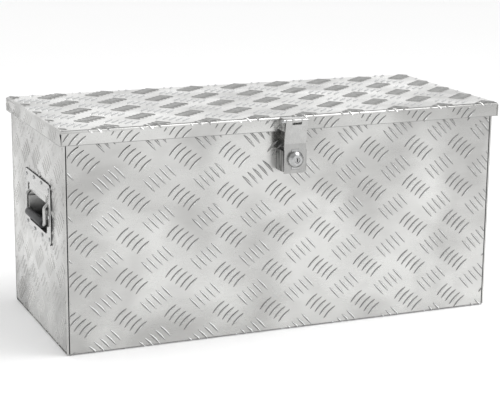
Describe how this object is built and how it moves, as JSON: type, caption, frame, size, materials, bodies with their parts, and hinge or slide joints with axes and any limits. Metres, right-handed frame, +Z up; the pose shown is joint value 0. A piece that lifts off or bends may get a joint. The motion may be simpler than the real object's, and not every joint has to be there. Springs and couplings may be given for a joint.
{
  "type": "tread-plate storage box",
  "caption": "Oblong box of folded aluminium tread plate with a rear-hinged lid, a lockable front hasp over a keeper, and a dished drop handle on each end.",
  "frame": {"origin": "centre of the box's underside, on the surface that it stands on", "axes": "+X along the box's length with the left end at -X, +Y from the front with the lock to the back with the hinge, +Z up"},
  "size_m": [0.776, 0.3665, 0.358],
  "materials": {
    "tread_sheet": "bright rolled sheet with raised five-bar tread",
    "hinge_steel": "satin zinc-plated steel",
    "lock_steel": "smooth satin steel",
    "lock_chrome": "polished chrome plate",
    "handle_steel": "smooth zinc-plated steel",
    "rivets": "satin aluminium",
    "grip_rubber": "matte black rubber",
    "seal_foam": "matte closed-cell foam"
  },
  "bodies": {
    "box": {"body_wrap": "tread_sheet", "left_end_panel": "tread_sheet", "right_end_panel": "tread_sheet", "hinge_body_leaf": "hinge_steel", "hinge_pin": "hinge_steel", "hinge_body_rivet_1": "rivets", "hinge_body_rivet_2": "rivets", "hinge_body_rivet_3": "rivets", "hinge_body_rivet_4": "rivets", "hinge_body_rivet_5": "rivets", "keeper_box": "lock_steel", "keeper_rivet_1": "rivets", "keeper_rivet_2": "rivets", "left_handle_plate": "handle_steel", "left_handle_rivet_1": "rivets", "left_handle_rivet_2": "rivets", "left_handle_rivet_3": "rivets", "left_handle_rivet_4": "rivets", "left_handle_rivet_5": "rivets", "left_handle_rivet_6": "rivets", "left_handle_rivet_7": "rivets", "left_handle_rivet_8": "rivets", "left_handle_rivet_9": "rivets", "left_handle_rivet_10": "rivets", "right_handle_plate": "handle_steel", "right_handle_rivet_1": "rivets", "right_handle_rivet_2": "rivets", "right_handle_rivet_3": "rivets", "right_handle_rivet_4": "rivets", "right_handle_rivet_5": "rivets", "right_handle_rivet_6": "rivets", "right_handle_rivet_7": "rivets", "right_handle_rivet_8": "rivets", "right_handle_rivet_9": "rivets", "right_handle_rivet_10": "rivets"},
    "lid": {"lid_shell": "tread_sheet", "lid_seal": "seal_foam", "hinge_lid_leaf": "hinge_steel", "hinge_lid_rivet_1": "rivets", "hinge_lid_rivet_2": "rivets", "hinge_lid_rivet_3": "rivets", "hinge_lid_rivet_4": "rivets", "hinge_lid_rivet_5": "rivets", "hasp_bracket": "lock_steel", "hasp_pin": "lock_chrome", "bracket_rivet_1": "rivets", "bracket_rivet_2": "rivets"},
    "hasp": {"hasp_plate": "lock_steel", "lock_barrel": "lock_chrome", "lock_nut": "lock_steel"},
    "lock_core": {"lock_plug": "lock_chrome", "lock_cam": "lock_steel", "lock_cam_screw": "lock_steel"},
    "left_bail": {"left_bail": "handle_steel", "left_grip": "grip_rubber"},
    "right_bail": {"right_bail": "handle_steel", "right_grip": "grip_rubber"}
  },
  "joints": [
    {"name": "lid_hinge", "type": "hinge", "parent": "box", "child": "lid", "pos_m": [0, 0.16275, 0.335], "axis": [-1, 0, 0], "range_deg": [0, 105]},
    {"name": "hasp_hinge", "type": "hinge", "parent": "lid", "child": "hasp", "pos_m": [-0.0028, -0.1908, 0.3544], "axis": [-1, 0, 0], "range_deg": [0, 170]},
    {"name": "lock_turn", "type": "hinge", "parent": "hasp", "child": "lock_core", "pos_m": [-0.0028, -0.1878, 0.292], "axis": [0, -1, 0], "range_deg": [0, 90]},
    {"name": "left_handle_pivot", "type": "hinge", "parent": "box", "child": "left_bail", "pos_m": [-0.3735, -0.01, 0.2295], "axis": [0, 1, 0], "range_deg": [0, 90]},
    {"name": "right_handle_pivot", "type": "hinge", "parent": "box", "child": "right_bail", "pos_m": [0.3735, -0.01, 0.2295], "axis": [0, -1, 0], "range_deg": [0, 90]}
  ]
}
